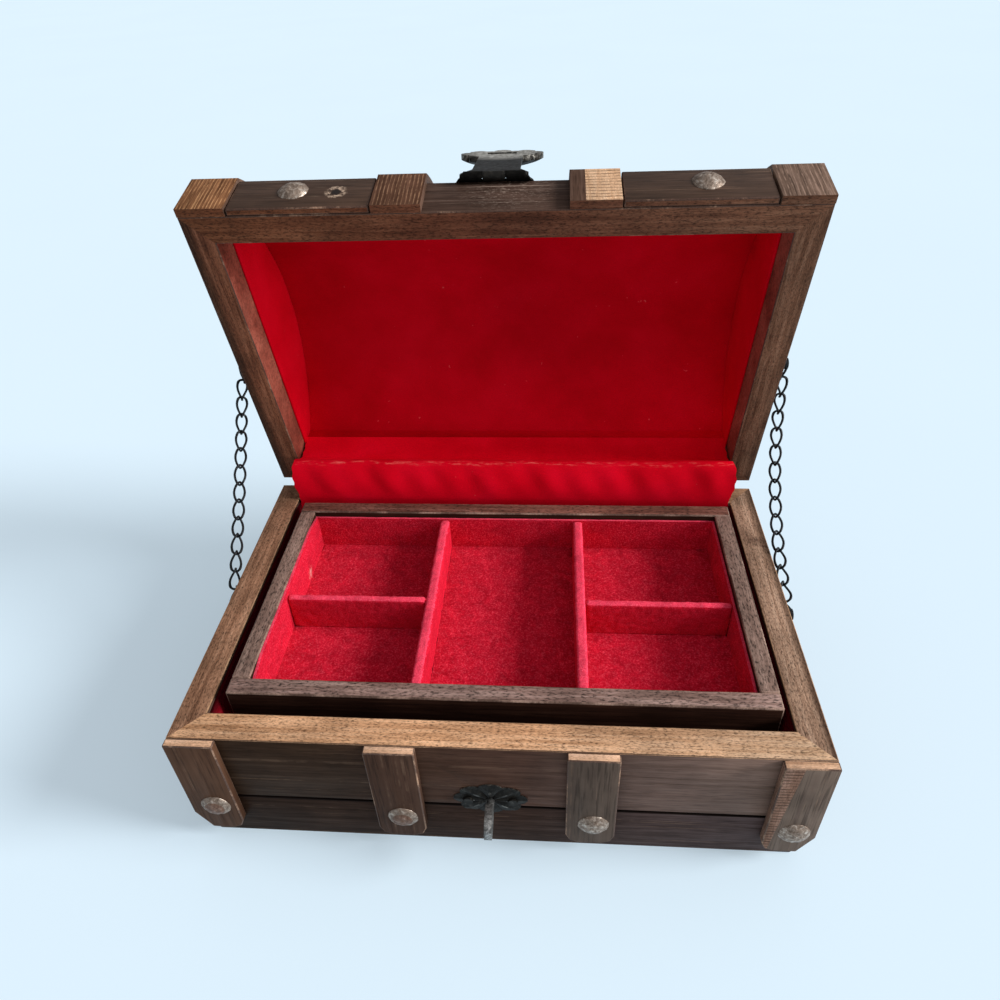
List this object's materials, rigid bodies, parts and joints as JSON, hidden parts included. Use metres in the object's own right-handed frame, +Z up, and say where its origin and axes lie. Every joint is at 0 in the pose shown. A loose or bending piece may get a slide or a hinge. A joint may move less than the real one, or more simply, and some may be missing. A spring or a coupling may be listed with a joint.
{
  "type": "jewellery box",
  "caption": "Chest-shaped wooden jewellery box with a domed lid on side chains, wooden straps with domed nails, a hasp and turn button, and a lift-out red-lined divided tray",
  "frame": {"origin": "on the table, under the middle of the body's boards", "axes": "+X right along the front, +Y to the back, +Z up"},
  "size_m": [0.2425, 0.2081, 0.213],
  "materials": {
    "dark_wood": "dark brown stain with a low sheen, bare tan rims",
    "strap_wood": "dark brown stain, worn light at the edges",
    "tray_wood": "grey-brown, matt",
    "red_flock": "short flock",
    "red_lining": "smooth lining cloth",
    "antique_nail": "hammered, antique grey",
    "black_metal": "blackened, worn silvery at the edges",
    "worn_steel": "worn",
    "hinge_metal": "dull",
    "chain_black": "blackened"
  },
  "bodies": {
    "box_body": {"body_front": "dark_wood", "body_back": "dark_wood", "body_left_end": "dark_wood", "body_right_end": "dark_wood", "body_bottom": "dark_wood", "body_floor_felt": "red_flock", "body_wall_felt": "red_flock", "tray_rest_left": "tray_wood", "tray_rest_right": "tray_wood", "body_corner_straps": "strap_wood", "body_middle_straps": "strap_wood", "body_nails": "antique_nail", "latch_plate": "black_metal", "body_screws": "black_metal", "hinge_body_leaves": "hinge_metal", "hinge_pins": "hinge_metal", "chain_body_pins": "chain_black", "hinge_cloth": "red_lining"},
    "lid": {"lid_front_rail": "dark_wood", "lid_back_rail": "dark_wood", "lid_left_end": "dark_wood", "lid_right_end": "dark_wood", "lid_slats": "dark_wood", "lid_corner_straps": "strap_wood", "lid_middle_straps": "strap_wood", "lid_left_strip": "strap_wood", "lid_right_strip": "strap_wood", "lid_nails": "antique_nail", "lid_barrel_felt": "red_lining", "lid_left_end_felt": "red_lining", "lid_right_end_felt": "red_lining", "hinge_lid_leaves": "hinge_metal", "lid_screws": "black_metal", "hasp_base": "black_metal", "hasp_pin": "black_metal", "chain_lid_pins": "chain_black"},
    "hasp": {"hasp_leaf": "black_metal"},
    "button": {"turn_button": "worn_steel"},
    "tray": {"tray_front_rail": "tray_wood", "tray_back_rail": "tray_wood", "tray_left_rail": "tray_wood", "tray_right_rail": "tray_wood", "tray_floor": "tray_wood", "tray_floor_felt": "red_flock", "tray_wall_felt": "red_flock", "tray_divider_left": "red_flock", "tray_divider_right": "red_flock", "tray_cross_left": "red_flock", "tray_cross_right": "red_flock"},
    "chain_left_body_run": {"chain_left_body_run": "chain_black"},
    "chain_left_low_link": {"chain_left_low_link": "chain_black"},
    "chain_left_lid_run": {"chain_left_lid_run": "chain_black"},
    "chain_left_high_link": {"chain_left_high_link": "chain_black"},
    "chain_right_body_run": {"chain_right_body_run": "chain_black"},
    "chain_right_low_link": {"chain_right_low_link": "chain_black"},
    "chain_right_lid_run": {"chain_right_lid_run": "chain_black"},
    "chain_right_middle_run": {"chain_right_middle_run": "chain_black"},
    "chain_right_high_link": {"chain_right_high_link": "chain_black"}
  },
  "joints": [
    {"name": "lid_hinge", "type": "hinge", "parent": "box_body", "child": "lid", "pos_m": [0, 0.0756, 0.0597], "axis": [1, 0, 0], "range_deg": [0, 77], "deforming": ["chain_left_body_run", "chain_left_high_link", "chain_left_lid_run", "chain_left_low_link", "chain_right_body_run", "chain_right_high_link", "chain_right_lid_run", "chain_right_low_link", "chain_right_middle_run", "hinge_cloth"]},
    {"name": "tray_lift", "type": "slide", "parent": "box_body", "child": "tray", "axis": [0, 0, 1], "range_m": [0, 0.1]},
    {"name": "hasp_swing", "type": "hinge", "parent": "lid", "child": "hasp", "pos_m": [-0.0013, 0.06104, 0.21131], "axis": [1, 0, 0], "range_deg": [-6, 199]},
    {"name": "button_turn", "type": "hinge", "parent": "box_body", "child": "button", "pos_m": [-0.0013, -0.073, 0.0293], "axis": [0, 1, 0], "range_deg": [0, 90]},
    {"name": "chain_left_body_run_swing", "type": "hinge", "parent": "box_body", "child": "chain_left_body_run", "pos_m": [-0.1185, 0.001, 0.0495], "axis": [1, 0, 0], "range_deg": [-134.85, 0.5]},
    {"name": "chain_left_low_link_swing", "type": "hinge", "parent": "chain_left_body_run", "child": "chain_left_low_link", "pos_m": [-0.1185, 0.02678, 0.07652], "axis": [1, 0, 0], "range_deg": [-0.5, 70.72]},
    {"name": "chain_left_lid_run_swing", "type": "hinge", "parent": "lid", "child": "chain_left_lid_run", "pos_m": [-0.1185, 0.07011, 0.12884], "axis": [1, 0, 0], "range_deg": [-33.45, 0.5]},
    {"name": "chain_left_high_link_swing", "type": "hinge", "parent": "chain_left_lid_run", "child": "chain_left_high_link", "pos_m": [-0.1185, 0.03694, 0.08796], "axis": [1, 0, 0], "range_deg": [-17.84, 0.5]},
    {"name": "chain_right_body_run_swing", "type": "hinge", "parent": "box_body", "child": "chain_right_body_run", "pos_m": [0.1185, 0.001, 0.0495], "axis": [1, 0, 0], "range_deg": [-112.56, 0.5]},
    {"name": "chain_right_low_link_swing", "type": "hinge", "parent": "chain_right_body_run", "child": "chain_right_low_link", "pos_m": [0.1185, 0.03485, 0.06461], "axis": [1, 0, 0], "range_deg": [-0.5, 33.67]},
    {"name": "chain_right_lid_run_swing", "type": "hinge", "parent": "lid", "child": "chain_right_lid_run", "pos_m": [0.1185, 0.07011, 0.12884], "axis": [1, 0, 0], "range_deg": [-43.95, 0.5]},
    {"name": "chain_right_middle_run_swing", "type": "hinge", "parent": "chain_right_lid_run", "child": "chain_right_middle_run", "pos_m": [0.1185, 0.05978, 0.09323], "axis": [1, 0, 0], "range_deg": [-7.19, 0.5]},
    {"name": "chain_right_high_link_swing", "type": "hinge", "parent": "chain_right_middle_run", "child": "chain_right_high_link", "pos_m": [0.1185, 0.04632, 0.07472], "axis": [1, 0, 0], "range_deg": [-36.27, 0.5]}
  ],
  "couplings": [
    {"joint": "chain_left_body_run_swing", "follows": "lid_hinge", "ratio": -1.7448},
    {"joint": "chain_left_low_link_swing", "follows": "lid_hinge", "ratio": 0.91188},
    {"joint": "chain_left_lid_run_swing", "follows": "lid_hinge", "ratio": -0.42792},
    {"joint": "chain_left_high_link_swing", "follows": "lid_hinge", "ratio": -0.22519},
    {"joint": "chain_right_body_run_swing", "follows": "lid_hinge", "ratio": -1.4553},
    {"joint": "chain_right_low_link_swing", "follows": "lid_hinge", "ratio": 0.43073},
    {"joint": "chain_right_lid_run_swing", "follows": "lid_hinge", "ratio": -0.56431},
    {"joint": "chain_right_middle_run_swing", "follows": "lid_hinge", "ratio": -0.086882},
    {"joint": "chain_right_high_link_swing", "follows": "lid_hinge", "ratio": -0.46461}
  ]
}
